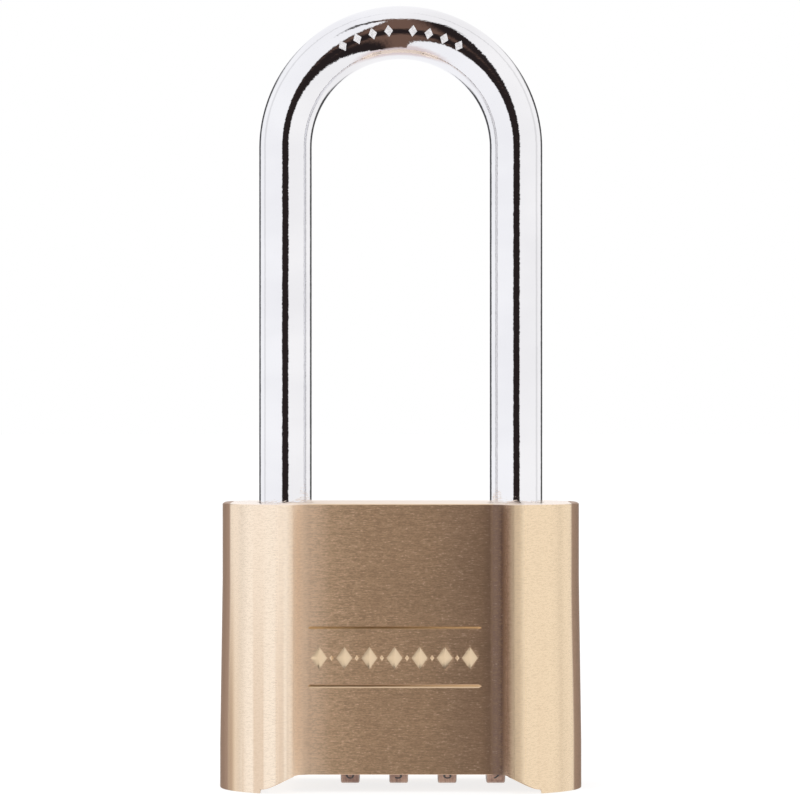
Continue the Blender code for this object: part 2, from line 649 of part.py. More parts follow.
def make_dial_frame(brass):
    """The plate that closes the pocket, with a slot for each dial, two cheeks and a tongue."""
    plate = box_outline(PLATE_LEFT, PLATE_RIGHT, PLATE_BOTTOM, PLATE_TOP)
    base = prism(plate, -PLATE_HALF_DEPTH, PLATE_HALF_DEPTH, "Y")
    root = PLATE_TOP - PLATE_THICKNESS / 2
    cheek = [(-CHEEK_HALF_DEPTH, root), (CHEEK_HALF_DEPTH, root)]
    cheek += arc((0.0, SPINDLE_Z), CHEEK_HALF_DEPTH, 0.0, 180.0, 12)
    low, high = tongue_heights()
    tongue = box_outline(RIGHT_CHEEK_X + RIGHT_CHEEK / 2, TONGUE_RIGHT, low, high)
    joins = [
        prism(cheek, CHEEK_OUTER_X, CHEEK_INNER_X, "X"),
        prism(cheek, RIGHT_CHEEK_X, RIGHT_CHEEK_X + RIGHT_CHEEK, "X"),
        prism(tongue, -TONGUE_HALF_DEPTH, TONGUE_HALF_DEPTH, "Y"),
    ]
    slot_half = DIAL_WIDTH / 2 + GAP
    slot_depth = math.sqrt(DIAL_RADIUS**2 - (SPINDLE_Z - PLATE_TOP) ** 2) + GAP
    cuts = [
        prism(box_outline(x - slot_half, x + slot_half, BELOW, root + PLATE_THICKNESS), -slot_depth, slot_depth, "Y")
        for x in DIAL_XS
    ]
    cuts.append(rod(CHEEK_OUTER_X - OVER, CHEEK_INNER_X + OVER, SPINDLE_RADIUS + GAP, 20, "X", (0.0, SPINDLE_Z)))
    cuts.append(rod(RIGHT_CHEEK_X - OVER, PLATE_RIGHT + OVER, TAIL_RADIUS + GAP, 16, "X", (0.0, SPINDLE_Z)))
    for y in (-SCREW_Y, SCREW_Y):
        sink = [
            (PLATE_BOTTOM - OVER, 0.0),
            (PLATE_BOTTOM - OVER, SCREW_HEAD + GAP),
            (PLATE_BOTTOM, SCREW_HEAD + GAP),
            (PLATE_BOTTOM + SCREW_HEAD_HEIGHT, SCREW_RADIUS + GAP),
            (PLATE_TOP + OVER, SCREW_RADIUS + GAP),
            (PLATE_TOP + OVER, 0.0),
        ]
        cuts.append(turned(sink, 16, "Z", (SCREW_X, y)))
    place("dial_frame", carve(base, joins, cuts), brass)


def make_screw(name, steel, y):
    profile = [
        (0.0, 0.0),
        (0.0, SCREW_HEAD),
        (SCREW_HEAD_HEIGHT, SCREW_RADIUS),
        (SCREW_LENGTH - SCREW_RADIUS, SCREW_RADIUS),
        (SCREW_LENGTH, 0.0),
    ]
    slot_outline = box_outline(-SCREW_HEAD, SCREW_HEAD, -DRIVER_SLOT / 2, DRIVER_SLOT / 2)
    slot = prism(slot_outline, -OVER, SCREW_HEAD_HEIGHT / 2, "Z")
    mesh = carve(turned(profile, 16, "Z"), cuts=[slot])
    place(name, mesh, steel, (SCREW_X, y, PLATE_BOTTOM))


def make_heel_pin(steel):
    end = PANEL_HALF_DEPTH - GAP / 3
    pin = rod(-HEEL_PIN_OVERHANG, end, HEEL_PIN_RADIUS, 20, "Y")
    place("heel_retaining_pin", carve(pin), steel, (HEEL_PIN_X, 0.0, HEEL_PIN_Z))


def main():
    for obj in list(bpy.data.objects):
        bpy.data.objects.remove(obj)
    brass = metal("brushed_brass", (0.60, 0.43, 0.25), 0.32)
    dial_brass = metal("dial_brass", (0.50, 0.34, 0.21), 0.35)
    chrome = metal("shackle_chrome", (0.78, 0.77, 0.78), 0.07)
    steel = metal("hard_steel", (0.47, 0.47, 0.48), 0.35)
    spring = metal("spring_steel", (0.38, 0.38, 0.40), 0.30)
    spindle_axis = empty("spindle_axis", (0.0, 0.0, SPINDLE_Z))

    make_body(brass)
    make_shackle(chrome)
    dials = make_dials(dial_brass, spindle_axis)
    make_hubs(steel, dials)
    make_spindle(steel, spindle_axis)
    make_reset_cam(steel, spindle_axis)
    make_locking_bar(steel)
    make_bar_spring(spring)
    make_hub_spring(spring, spindle_axis)
    make_detent_spring(spring)
    make_dial_frame(brass)
    make_screw("frame_screw_front", steel, -SCREW_Y)
    make_screw("frame_screw_back", steel, SCREW_Y)
    make_heel_pin(steel)


main()
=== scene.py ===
# Brass combination padlock: the looks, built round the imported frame
import math

import bmesh
import bpy
import numpy as np
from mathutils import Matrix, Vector


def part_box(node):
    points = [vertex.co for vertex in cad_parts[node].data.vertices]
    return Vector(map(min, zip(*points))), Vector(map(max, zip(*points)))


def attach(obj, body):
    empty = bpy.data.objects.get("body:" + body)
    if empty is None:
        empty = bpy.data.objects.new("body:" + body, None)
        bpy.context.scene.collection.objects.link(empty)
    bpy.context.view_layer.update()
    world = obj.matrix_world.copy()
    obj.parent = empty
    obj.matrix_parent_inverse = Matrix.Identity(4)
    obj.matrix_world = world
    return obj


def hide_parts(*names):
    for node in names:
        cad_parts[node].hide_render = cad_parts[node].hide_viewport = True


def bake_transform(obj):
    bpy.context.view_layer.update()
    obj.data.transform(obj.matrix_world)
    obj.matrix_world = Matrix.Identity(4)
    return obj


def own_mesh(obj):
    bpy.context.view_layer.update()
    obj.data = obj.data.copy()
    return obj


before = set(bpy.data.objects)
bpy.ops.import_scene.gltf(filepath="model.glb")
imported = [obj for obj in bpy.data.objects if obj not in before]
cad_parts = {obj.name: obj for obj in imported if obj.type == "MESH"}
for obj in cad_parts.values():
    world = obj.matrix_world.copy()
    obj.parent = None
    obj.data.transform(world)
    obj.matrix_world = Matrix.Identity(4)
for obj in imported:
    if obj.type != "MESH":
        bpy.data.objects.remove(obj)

mm = 0.001
gap = 0.3 * mm  # clearance round each inner piece
past = 1.0 * mm  # how far a cutting tool runs out of the case
xWay, yWay, zWay = np.eye(3)
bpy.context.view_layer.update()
caseLow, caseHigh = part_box("case_body")
barLow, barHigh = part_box("shackle")
barRadius = (barHigh.y - barLow.y) / 2
legX = barHigh.x - barRadius  # how far each leg's axis stands from the middle
bendZ = barHigh.z - barRadius - legX  # where the legs end and the bend starts
toeEnd = caseHigh.z - 11.0 * mm  # where the toe leg ends, under the case's top


def report(text):
    print("padlock:", text, flush=True)


# a piece from its points and faces
def newPiece(name, points, faces, body, slotName, finish, sharpAngle=32.0):
    mesh = bpy.data.meshes.new(name)
    mesh.from_pydata(points.reshape(-1, 3).tolist(), [], faces)
    mesh.validate()
    return settle(name, mesh, body, finish, sharpAngle)


# a piece from its mesh: smooth up to an angle, in one material, riding on its body if it has one
def settle(name, mesh, body, finish, sharpAngle=32.0):
    turnOutwards(mesh)
    mesh.materials.clear()
    mesh.materials.append(finish)
    mesh.shade_smooth()
    mesh.set_sharp_from_angle(angle=math.radians(sharpAngle))
    piece = bpy.data.objects.new(name, mesh)
    bpy.context.scene.collection.objects.link(piece)
    if body is not None:
        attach(piece, body)
    return piece


# makes every face of a closed mesh look outwards
def turnOutwards(mesh):
    bm = bmesh.new()
    bm.from_mesh(mesh)
    bmesh.ops.recalc_face_normals(bm, faces=bm.faces)
    if bm.calc_volume(signed=True) < 0.0:
        bmesh.ops.reverse_faces(bm, faces=bm.faces)
    bm.to_mesh(mesh)
    bm.free()


# quads between neighbouring points of a rows x columns grid; either way round may be closed
def gridFaces(rows, columns, closedRows=False, closedColumns=True):
    index = np.arange(rows * columns).reshape(rows, columns)
    if closedRows:
        index = np.vstack([index, index[:1]])
    if closedColumns:
        index = np.hstack([index, index[:, :1]])
    corners = (index[:-1, :-1], index[:-1, 1:], index[1:, 1:], index[1:, :-1])
    return np.stack([c.ravel() for c in corners], axis=1).tolist()


# one face over the first row and one over the last
def endCaps(rows, columns):
    return [list(range(columns)), list(range((rows - 1) * columns, rows * columns))]


# a ring of points round a centre: centre + radius * (cos a * first + sin a * second)
def ringPoints(centre, radius, first, second, angles):
    around = np.cos(angles)[:, None] * first + np.sin(angles)[:, None] * second
    return np.asarray(centre) + np.asarray(radius).reshape(-1, 1) * around


def fullTurn(count):
    return np.arange(count) * (2 * math.pi / count)


# a rod along X, Y or Z for cutting: two rings of points round its axis, joined and capped
def rodTool(way, low, high, radius, centre, sides=64):
    first, second = {0: (yWay, zWay), 1: (zWay, xWay), 2: (xWay, yWay)}[way]
    along = np.eye(3)[way]
    ends = [np.asarray(centre) + height * along for height in (low, high)]
    rings = [ringPoints(end, radius, first, second, fullTurn(sides)) for end in ends]
    return np.concatenate(rings), gridFaces(2, sides) + endCaps(2, sides)


# a box for cutting, from its lowest and highest corners
def boxTool(low, high):
    corners = np.array([[x, y, z] for z in (low[2], high[2]) for x, y in
                        ((low[0], low[1]), (high[0], low[1]), (high[0], high[1]), (low[0], high[1]))])
    return corners, gridFaces(2, 4) + endCaps(2, 4)


# cuts the tools out of a mesh, one after another
def carve(mesh, tools):
    body = bpy.data.objects.new("carved", mesh)
    bpy.context.scene.collection.objects.link(body)
    for points, faces in tools:
        toolMesh = bpy.data.meshes.new("tool")
        toolMesh.from_pydata(points.tolist(), [], faces)
        turnOutwards(toolMesh)
        tool = bpy.data.objects.new("tool", toolMesh)
        bpy.context.scene.collection.objects.link(tool)
        cut = body.modifiers.new("cut", "BOOLEAN")
        cut.operation = "DIFFERENCE"
        cut.solver = "EXACT"
        cut.object = tool
        state = bpy.context.evaluated_depsgraph_get()
        carved = bpy.data.meshes.new_from_object(body.evaluated_get(state))
        body.modifiers.clear()
        body.data = carved
        bpy.data.objects.remove(tool)
    bpy.data.objects.remove(body)
    return carved


class Wire:  # one output of a node; sums and products of wires add Math nodes
    def __init__(self, tree, socket):
        self.tree = tree
        self.socket = socket

    def maths(self, operation, *values):
        return self.tree.make("ShaderNodeMath", {"operation": operation}, dict(enumerate(values)))

    def __add__(self, other):
        return self.maths("ADD", self, other)

    def __sub__(self, other):
        return self.maths("SUBTRACT", self, other)

    def __rsub__(self, other):
        return self.maths("SUBTRACT", other, self)

    def __mul__(self, other):
        return self.maths("MULTIPLY", self, other)

    def __truediv__(self, other):
        return self.maths("DIVIDE", self, other)

    def __neg__(self):
        return self.maths("MULTIPLY", self, -1.0)

    __radd__ = __add__
    __rmul__ = __mul__

    def size(self):
        return self.maths("ABSOLUTE", self)

    def orMore(self, other):
        return self.maths("MAXIMUM", self, other)

    # 0 below low, 1 above high, smooth between
    def ramp(self, low, high):
        return self.tree.make("ShaderNodeMapRange", {"interpolation_type": "SMOOTHSTEP", "clamp": True},
                              {"Value": self, "From Min": low, "From Max": high})


class Tree:  # a material's or the world's nodes
    def __init__(self, nodeTree):
        self.nodeTree = nodeTree

    # any node: its settings, what goes to its sockets and which output is wanted
    def make(self, kind, settings, sockets, output=0):
        node = self.nodeTree.nodes.new(kind)
        for name, value in settings.items():
            if name == "stops":
                self.setStops(node, value)
            else:
                setattr(node, name, value)
        for name, value in sockets.items():
            target = node.inputs[name]
            if isinstance(value, Wire):
                self.nodeTree.links.new(value.socket, target)
            else:
                target.default_value = value
        return Wire(self, node.outputs[output]) if len(node.outputs) else None

    def setStops(self, node, stops):
        elements = node.color_ramp.elements
        while len(elements) < len(stops):
            elements.new(1.0)
        for element, (place, colour) in zip(elements, stops):
            element.position = place
            element.color = (*colour, 1.0)

    def place(self):
        return self.make("ShaderNodeTexCoord", {}, {}, "Object")

    def split(self, vector):
        made = self.make("ShaderNodeSeparateXYZ", {}, {"Vector": vector})
        return [Wire(self, output) for output in made.socket.node.outputs]

    # noise stretched along each way: a larger scale makes it finer that way
    def grain(self, scale, detail=2.0, roughness=0.5):
        spot = self.make("ShaderNodeMapping", {}, {"Vector": self.place(), "Scale": scale})
        sockets = {"Vector": spot, "Scale": 1.0, "Detail": detail, "Roughness": roughness}
        return self.make("ShaderNodeTexNoise", {}, sockets)

    # sockets 6 and 7 of this node are its two colours, and output 2 is the mixed one
    def mixColour(self, amount, first, second, blend="MIX"):
        made = self.make("ShaderNodeMix", {"data_type": "RGBA", "blend_type": blend}, {0: amount}, 2)
        node = made.socket.node
        for target, value in ((node.inputs[6], first), (node.inputs[7], second)):
            if isinstance(value, Wire):
                self.nodeTree.links.new(value.socket, target)
            else:
                target.default_value = (*value, 1.0)
        return made

    def bump(self, height, distance):
        return self.make("ShaderNodeBump", {}, {"Height": height, "Distance": distance, "Strength": 1.0})


# 1 between the middle two of four steps and 0 outside the outer two
def between(wire, steps):
    low, lowTop, highTop, high = steps
    return wire.ramp(low, lowTop) * (1.0 - wire.ramp(highTop, high))


# the empty node tree of a new material or world
def emptyTree(holder):
    holder.use_nodes = True
    holder.node_tree.nodes.clear()
    return Tree(holder.node_tree)


# a Principled material, from a function that gives what goes to each of its sockets
def newFinish(name, build):
    finish = bpy.data.materials.new(name)
    tree = emptyTree(finish)
    shader = tree.make("ShaderNodeBsdfPrincipled", {}, build(tree))
    tree.make("ShaderNodeOutputMaterial", {}, {"Surface": shader})
    return finish


caseFinish = {  # places are in millimetres: x from the middle, z from the feet
    # the left pillar is paler than the right one: a painted light from the left
    "leftPillar": (0.98, 0.825, 0.655),
    "rightPillar": (0.90, 0.715, 0.495),
    "worn": (0.30, 0.20, 0.12),  # in the troughs of the brushing
    "fleck": (1.0, 0.78, 0.56),  # on its crests
    # the engraved cuts' colour: a painted highlight, brighter than the panel
    "engraved": (0.82, 0.63, 0.42),
    "banded": (0.66, 0.46, 0.30),  # faint upright bands low on the pillars
    "golden": (0.78, 0.57, 0.37),  # towards the left side strip, a painted shade that is stronger low down
    "shaded": (0.42, 0.27, 0.16),  # beside that strip, near the feet: a deeper painted shade
    # the side strips' colour: a painted shade
    "side": (0.40, 0.25, 0.165),
    # the top face's colour: a painted highlight
    "top": (0.98, 0.84, 0.72),
    "across": ((-14.8, (0.88, 0.69, 0.51)), (-13.7, (0.76, 0.575, 0.415)), (-12.6, (0.90, 0.69, 0.50)),
               (-10.0, (0.71, 0.50, 0.325)), (-5.0, (0.61, 0.41, 0.255)), (4.0, (0.60, 0.395, 0.245)),
               (8.0, (0.55, 0.36, 0.23)), (11.5, (0.50, 0.32, 0.205)), (12.9, (0.36, 0.225, 0.15)),
               (13.15, (0.22, 0.14, 0.105)), (14.4, (0.135, 0.083, 0.066)), (15.0, (0.62, 0.45, 0.33)),
               (15.9, (0.32, 0.215, 0.145))),  # the panel's colour at each x: partly a darker brushed finish, with painted light by the left pillar and painted shade deepening into the corner by the right one
    "spread": 40.0,  # the width that the panel's colours are laid over
    "leftEdge": (-16.4, -14.6),  # where the left pillar gives way to the panel
    "rightEdge": (15.2, 16.3),  # and the panel to the right pillar
    "sideEdge": (24.27, 24.55),  # where the pillars give way to the brushed side strips, which are painted dark as a painted shade
    "flare": (6.6, 30.0, 0.35),  # from and to which z the sides lean in, and by how much
    "topEdge": (0.12, 0.04),  # how far under the top the top's pale colour, a painted highlight, starts, and is whole
    "lowPart": (4.0, 40.0),  # heights over which what is low on the pillars fades out
    # where the painted shade on the left pillar begins, towards its side strip
    "goldenFrom": (-21.5, -24.4),
    "shadedFrom": (-23.5, -24.3),
    "calmTo": (-15.5, -7.5),  # the brushing shows less where the panel meets the left pillar
    "dullFrom": (9.0, 14.0),  # and has fewer flecks towards the right pillar, which adds to the painted shade there
    "halfPillars": (-10.0, 10.0),  # between the left pillar's look and the right one's
    "cut": ((-11.19, -11.14), (-10.3, -10.5), (13.5, 13.4)),  # bounds of the engravings: y, y again and x
    "strokes": (1300.0, 1300.0, 7400.0),  # how fine each grain is along x, y and z
    "longStrokes": (90.0, 90.0, 2600.0),
    "speckle": (2600.0, 2600.0, 4200.0),
    "cloud": (110.0, 110.0, 90.0),
    "bands": (620.0, 0.0, 6.0),
    "pillarRough": 0.26,
    "cutRough": 0.28,
    "panelRough": (0.60, 0.42),  # from left to right
    "panelHalf": (-14.0, 14.0),
    "shoulder": (14.4, 15.3, 16.6, 17.6),  # rougher here
    "leftShoulder": (-17.8, -16.6, -15.4, -14.0),  # and more matt here
    "relief": 0.020 * mm,
}


# colour of the brushed panels, with painted light by the left pillar and painted shade towards the right
# one, and how strongly the brushing's troughs show
def panelLook(tree, x, strokes, longStrokes, speckle):
    look = caseFinish
    # the panel's colours across x carry painted light by the left pillar and painted shade by the right one
    stops = [(0.5 + place / look["spread"], colour) for place, colour in look["across"]]
    colour = tree.make("ShaderNodeValToRGB", {"stops": stops}, {"Fac": x / look["spread"] + 0.5})
    calm = x.ramp(*look["calmTo"]) * 0.7 + 0.3
    streak = (strokes * 0.55 + longStrokes * 0.15 + speckle * 0.30).ramp(0.56, 0.40) * calm * 0.50
    colour = tree.mixColour(streak, colour, look["worn"])
    dull = x.ramp(*look["dullFrom"]) * 0.36
    fleck = (strokes * 0.6 + speckle * 0.4).ramp(0.56, 0.66) * calm * (0.54 - dull)
    return tree.mixColour(fleck, colour, look["fleck"]), streak


# colour of the polished pillars: paler on the left, a painted light from that side, banded near the feet,
# and golden then darker towards the left side strip, more so low down, a painted shade
def pillarLook(tree, x, z, strokes, speckle):
    look = caseFinish
    rightwards = x.ramp(*look["halfPillars"])
    colour = tree.mixColour(rightwards, look["leftPillar"], look["rightPillar"])
    rubbed = (speckle * 0.4 + strokes * 0.6).ramp(0.56, 0.38) * 0.15
    colour = tree.mixColour(rubbed, colour, look["worn"])
    low = 1.0 - z.ramp(*look["lowPart"])
    bands = tree.grain(look["bands"]).ramp(0.56, 0.40) * (low * 0.9 + 0.1)
    colour = tree.mixColour(bands * (0.5 - rightwards * 0.4), colour, look["banded"])
    # painted shade: golden, then darker, towards the left side strip and the feet
    colour = tree.mixColour(x.ramp(*look["goldenFrom"]) * (low * 0.5 + 0.3), colour, look["golden"])
    return tree.mixColour(x.ramp(*look["shadedFrom"]) * low * 0.8, colour, look["shaded"])


# brass brushed level all round: short fine strokes, duller and darker on the flat panels, the darkness
# partly painted shade
def brassFinish(tree):
    look = caseFinish
    x, y, z = [wire / mm for wire in tree.split(tree.place())]
    strokes = tree.grain(look["strokes"], 3.0, 0.65)
    longStrokes = tree.grain(look["longStrokes"], 2.0, 0.6)
    speckle = tree.grain(look["speckle"], 2.0, 0.6)
    cloud = tree.grain(look["cloud"])
    panel = x.ramp(*look["leftEdge"]) * (1.0 - x.ramp(*look["rightEdge"]))
    panelColour, streak = panelLook(tree, x, strokes, longStrokes, speckle)
    colour = tree.mixColour(panel, pillarLook(tree, x, z, strokes, speckle), panelColour)
    # the top face is painted pale: a painted highlight
    topStarts, topWhole = [caseHigh.z / mm - under for under in look["topEdge"]]
    colour = tree.mixColour(z.ramp(topStarts, topWhole), colour, look["top"])
    flareLow, flareHigh, flare = look["flare"]
    # the side strips take a painted shade, streaked with the brushing
    side = (x.size() - (1.0 - z.ramp(flareLow, flareHigh)) * flare).ramp(*look["sideEdge"])
    colour = tree.mixColour(side, colour, tree.mixColour(streak, look["side"], look["worn"]))
    # the engraved cuts get a brighter colour, a painted highlight, and their own roughness
    frontY, backY, endX = look["cut"]
    cut = y.ramp(*frontY) * y.ramp(*backY) * x.size().ramp(*endX)
    colour = tree.mixColour(cut, colour, look["engraved"])
    left, right = look["panelRough"]
    flat = left + (right - left) * x.ramp(*look["panelHalf"])
    shoulder = between(x.size(), look["shoulder"]) * 0.30
    rough = look["pillarRough"] + shoulder + panel * (flat - look["pillarRough"]) + (cloud - 0.5) * 0.10
    rough = rough - cut * (rough - look["cutRough"]) + side * 0.2
    metallic = 1.0 - between(x, look["leftShoulder"]) * 0.7 - side * 0.35
    height = strokes * 0.6 + longStrokes * 0.4 + speckle * 0.15
    return {"Base Color": colour, "Metallic": metallic, "Roughness": rough,
            "Normal": tree.bump(height, look["relief"])}


chromeLook = {
    "ripple": (500.0, 500.0, 1300.0),
    "slow": (120.0, 120.0, 200.0),
    "haze": (70.0, 70.0, 120.0),
    "hazeSteps": (0.3, 0.7),
    "clear": (0.845, 0.84, 0.86),
    "hazy": (0.90, 0.895, 0.91),
    "relief": 0.05 * mm,
}


# polished chrome: near clear, with faint polishing rings and a slow ripple
def chromeFinish(tree):
    look = chromeLook
    ripple = tree.grain(look["ripple"], 3.0, 0.6)
    haze = tree.grain(look["haze"])
    colour = tree.mixColour(haze.ramp(*look["hazeSteps"]), look["clear"], look["hazy"])
    height = ripple * 0.5 + tree.grain(look["slow"])
    return {"Base Color": colour, "Metallic": 1.0, "Roughness": haze * 0.04 + ripple * 0.03 + 0.01,
            "Normal": tree.bump(height, look["relief"])}


plainLooks = {
    "stampedSteel": {"grain": 3200.0, "steps": (0.4, 0.6), "dark": (0.80, 0.79, 0.80),
                     "pale": (0.95, 0.94, 0.95), "metallic": 0.3, "rougher": 0.2, "smoothest": 0.45},
    "numberPaint": {"grain": 2400.0, "steps": (0.58, 0.72), "dark": (0.012, 0.011, 0.011),
                    "pale": (0.10, 0.075, 0.055), "metallic": 0.0, "rougher": 0.2, "smoothest": 0.42},
    "springSteel": {"grain": 1500.0, "steps": (0.35, 0.65), "dark": (0.22, 0.22, 0.24),
                    "pale": (0.42, 0.42, 0.44), "metallic": 1.0, "rougher": 0.15, "smoothest": 0.25},
}


# one even grain: frosted steel for the stamps, black paint worn brown for the figures, and drawn spring wire
def plainFinish(name):
    look = plainLooks[name]

    def build(tree):
        grain = tree.grain((look["grain"],) * 3, 2.0, 0.6)
        colour = tree.mixColour(grain.ramp(*look["steps"]), look["dark"], look["pale"])
        return {"Base Color": colour, "Metallic": look["metallic"],
                "Roughness": grain * look["rougher"] + look["smoothest"]}

    return newFinish(name, build)


brushedLooks = {
    # dialBrass is much darker than the case's brass: a painted shade for the dials sitting under the case
    "dialBrass": {"strokes": (4800.0, 500.0, 500.0), "cloud": 420.0, "cloudGrain": (3.0, 0.55),
                  "share": (0.5, 0.5), "steps": (0.34, 0.64), "dark": (0.24, 0.15, 0.115),
                  "pale": (0.48, 0.33, 0.24), "rougher": 0.2, "smoothest": 0.24, "relief": 0.006 * mm},
    "frameBrass": {"strokes": (300.0, 5200.0, 300.0), "cloud": 160.0, "cloudGrain": (2.0, 0.5),
                   "share": (0.6, 0.4), "steps": (0.35, 0.65), "dark": (0.36, 0.24, 0.135),
                   "pale": (0.60, 0.43, 0.26), "rougher": 0.2, "smoothest": 0.28, "relief": 0.006 * mm},
    "hardSteel": {"strokes": (3800.0, 600.0, 600.0), "cloud": 300.0, "cloudGrain": (2.0, 0.5),
                  "share": (0.5, 0.5), "steps": (0.35, 0.65), "dark": (0.33, 0.33, 0.34),
                  "pale": (0.56, 0.56, 0.57), "rougher": 0.2, "smoothest": 0.25, "relief": 0.005 * mm},
}


# fine strokes one way and a cloudy tone: round the dials and the steel pieces, front to back on the plate
def brushedFinish(name):
    look = brushedLooks[name]

    def build(tree):
        strokes = tree.grain(look["strokes"], 2.0, 0.6)
        cloud = tree.grain((look["cloud"],) * 3, *look["cloudGrain"])
        strokeShare, cloudShare = look["share"]
        tone = (strokes * strokeShare + cloud * cloudShare).ramp(*look["steps"])
        colour = tree.mixColour(tone, look["dark"], look["pale"])
        return {"Base Color": colour, "Metallic": 1.0, "Normal": tree.bump(strokes, look["relief"]),
                "Roughness": cloud * look["rougher"] + look["smoothest"]}

    return newFinish(name, build)


brass = newFinish("brushedBrass", brassFinish)
chrome = newFinish("polishedChrome", chromeFinish)
stampSteel = plainFinish("stampedSteel")
dialBrass = brushedFinish("dialBrass")
numberPaint = plainFinish("numberPaint")
frameBrass = brushedFinish("frameBrass")
steel = brushedFinish("hardSteel")
springSteel = plainFinish("springSteel")
report("finishes made")


caseSizes = {
    "height": caseHigh.z,
    "flare": 0.35 * mm,  # how much wider each side stands at the feet
    "flareTop": 30.0 * mm,
    "flareBottom": 6.6 * mm,
    "halfDepth": caseHigh.y,
    "panelHalfDepth": 11.2 * mm,
    "sideFlat": 2.5 * mm,
    "pillarTurn": math.radians(77.0),  # of the large arc, from the side strip to the shoulder
    "shoulderRadius": 0.8 * mm,
    "filletRadius": 2.5 * mm,
    "archHeight": 2.5 * mm,
    "archStep": 0.55 * mm,
    "archSlope": 5.7 * mm,
    "archInset": 5.7 * mm,
    "archEdge": 0.02 * mm,  # the width of the small step beside each foot
    "topRound": 0.22 * mm,
    "footRound": 0.15 * mm,
    "pillarPoints": 60,
    "smallArcPoints": 22,
    "panelPoints": 41,
    "besideFoot": 0.0012,  # a point this turn to each side of the foot's inner corner
    "roundRows": 5,
    "footRows": 9,
    "wallRows": 30,
}
caseSizes["halfWidth"] = caseHigh.x - caseSizes["flare"]


def smooth(t):
    t = np.clip(t, 0.0, 1.0)
    return t * t * (3.0 - 2.0 * t)


# one quarter of the outline, side to panel: three arcs that meet without a kink, each shrunk by the inset
def caseQuarter(inset):
    c = caseSizes
    turn = c["pillarTurn"]
    shoulderY = c["halfDepth"] - c["shoulderRadius"]
    reach = (shoulderY - c["sideFlat"]) / math.sin(turn)
    pillarRadius = reach + c["shoulderRadius"]
    pillarX = c["halfWidth"] - pillarRadius
    shoulderX = pillarX + reach * math.cos(turn)
    filletY = c["panelHalfDepth"] + c["filletRadius"]
    drop = filletY - shoulderY
    run = math.sqrt((c["shoulderRadius"] + c["filletRadius"]) ** 2 - drop**2)
    tilt = math.atan2(drop, run)
    panelX = shoulderX - run
    stretch = c["flare"] / (c["halfWidth"] - panelX)
    footX = (caseHigh.x - c["archInset"] - c["flare"] + stretch * panelX) / (1.0 + stretch)
    footTurn = math.acos((footX - pillarX) / pillarRadius)
    footTurns = [footTurn - c["besideFoot"], footTurn + c["besideFoot"]]
    pillarTurns = np.sort(np.concatenate([np.linspace(0.0, turn, c["pillarPoints"]), footTurns]))
    shoulderTurns = np.linspace(turn, math.pi - tilt, c["smallArcPoints"])[1:]
    filletTurns = np.linspace(-tilt, -math.pi / 2, c["smallArcPoints"])[1:]
    arcs = ((pillarX, c["sideFlat"], pillarRadius - inset, pillarTurns),
            (shoulderX, shoulderY, c["shoulderRadius"] - inset, shoulderTurns),
            (panelX, filletY, c["filletRadius"] + inset, filletTurns))
    points = [np.stack([x + r * np.cos(turns), y + r * np.sin(turns)], axis=1) for x, y, r, turns in arcs]
    return np.concatenate(points)


# the back half from right to left, then the front half from left to right
def caseOutline(inset):
    quarter = caseQuarter(inset)
    panelX, panelY = quarter[-1]
    across = np.linspace(panelX, -panelX, caseSizes["panelPoints"])[1:-1]
    panel = np.stack([across, np.full(len(across), panelY)], axis=1)
    back = np.concatenate([quarter, panel, quarter[::-1] * (-1.0, 1.0)])
    return np.concatenate([back, -back])


# height of the underside over the feet at each x: flat, an eased slope, a small step, then 0 on the feet
def archHeight(x):
    c = caseSizes
    footX = caseHigh.x - c["archInset"] - c["flare"]
    out = np.abs(x)
    rise = c["archStep"] + (c["archHeight"] - c["archStep"]) * smooth((footX - out) / c["archSlope"])
    return rise * np.clip((footX - out) / c["archEdge"] + 0.5, 0.0, 1.0)


# the case's skin: outlines stacked from the underside to the top, rounded at both edges
def caseSkin():
    c = caseSizes
    plan = caseOutline(0.0)
    low = archHeight(flared(plan, 0.0)[:, 0])
    rounding = np.linspace(0.0, math.pi / 2, c["roundRows"])
    rows = []
    for a in rounding:
        rise = c["footRound"] * (1.0 - math.cos(a))
        rows.append((caseOutline(c["footRound"] * (1.0 - math.sin(a))), low + rise))
    bandLow = low + c["footRound"]
    for share in np.linspace(0.0, 1.0, c["footRows"])[1:]:
        rows.append((plan, bandLow + (c["flareBottom"] - bandLow) * share))
    for z in np.linspace(c["flareBottom"], c["height"] - c["topRound"], c["wallRows"])[1:]:
        rows.append((plan, np.full(len(plan), z)))
    for a in rounding[1:]:
        rise = c["topRound"] * math.sin(a)
        inset = c["topRound"] * (1.0 - math.cos(a))
        rows.append((caseOutline(inset), np.full(len(plan), c["height"] - c["topRound"] + rise)))
    return np.array([np.column_stack([flared(outline, z), z]) for outline, z in rows])


# moves points outwards, more towards the sides and towards the feet
def flared(outline, z):
    c = caseSizes
    wide = c["flare"] * np.clip((c["flareTop"] - z) / (c["flareTop"] - c["flareBottom"]), 0.0, 1.0)
    panelX = caseQuarter(0.0)[-1, 0]
    share = np.clip((np.abs(outline[:, 0]) - panelX) / (c["halfWidth"] - panelX), 0.0, 1.0)
    return np.column_stack([outline[:, 0] + np.sign(outline[:, 0]) * share * wide, outline[:, 1]])


engravingSizes = {  # V-shaped cuts in the front panel: two long lines and a row of lozenges between them
    "lines": ((15.1 * mm, 0.6 * mm), (23.4 * mm, 0.42 * mm)),  # height and width of each long line
    "ends": (-13.4 * mm, 11.6 * mm),  # x
    "lineDepth": 0.22 * mm,
    "linePoint": 0.5 * mm,  # the length of each line's pointed ends
    "rowHeight": 19.1 * mm,
    "lozenges": 7,  # large ones, with a small one between each two
    "large": (1.25 * mm, 1.75 * mm, 0.4 * mm),  # half width, half height and depth
    "small": (0.36 * mm, 0.5 * mm, 0.2 * mm),
}


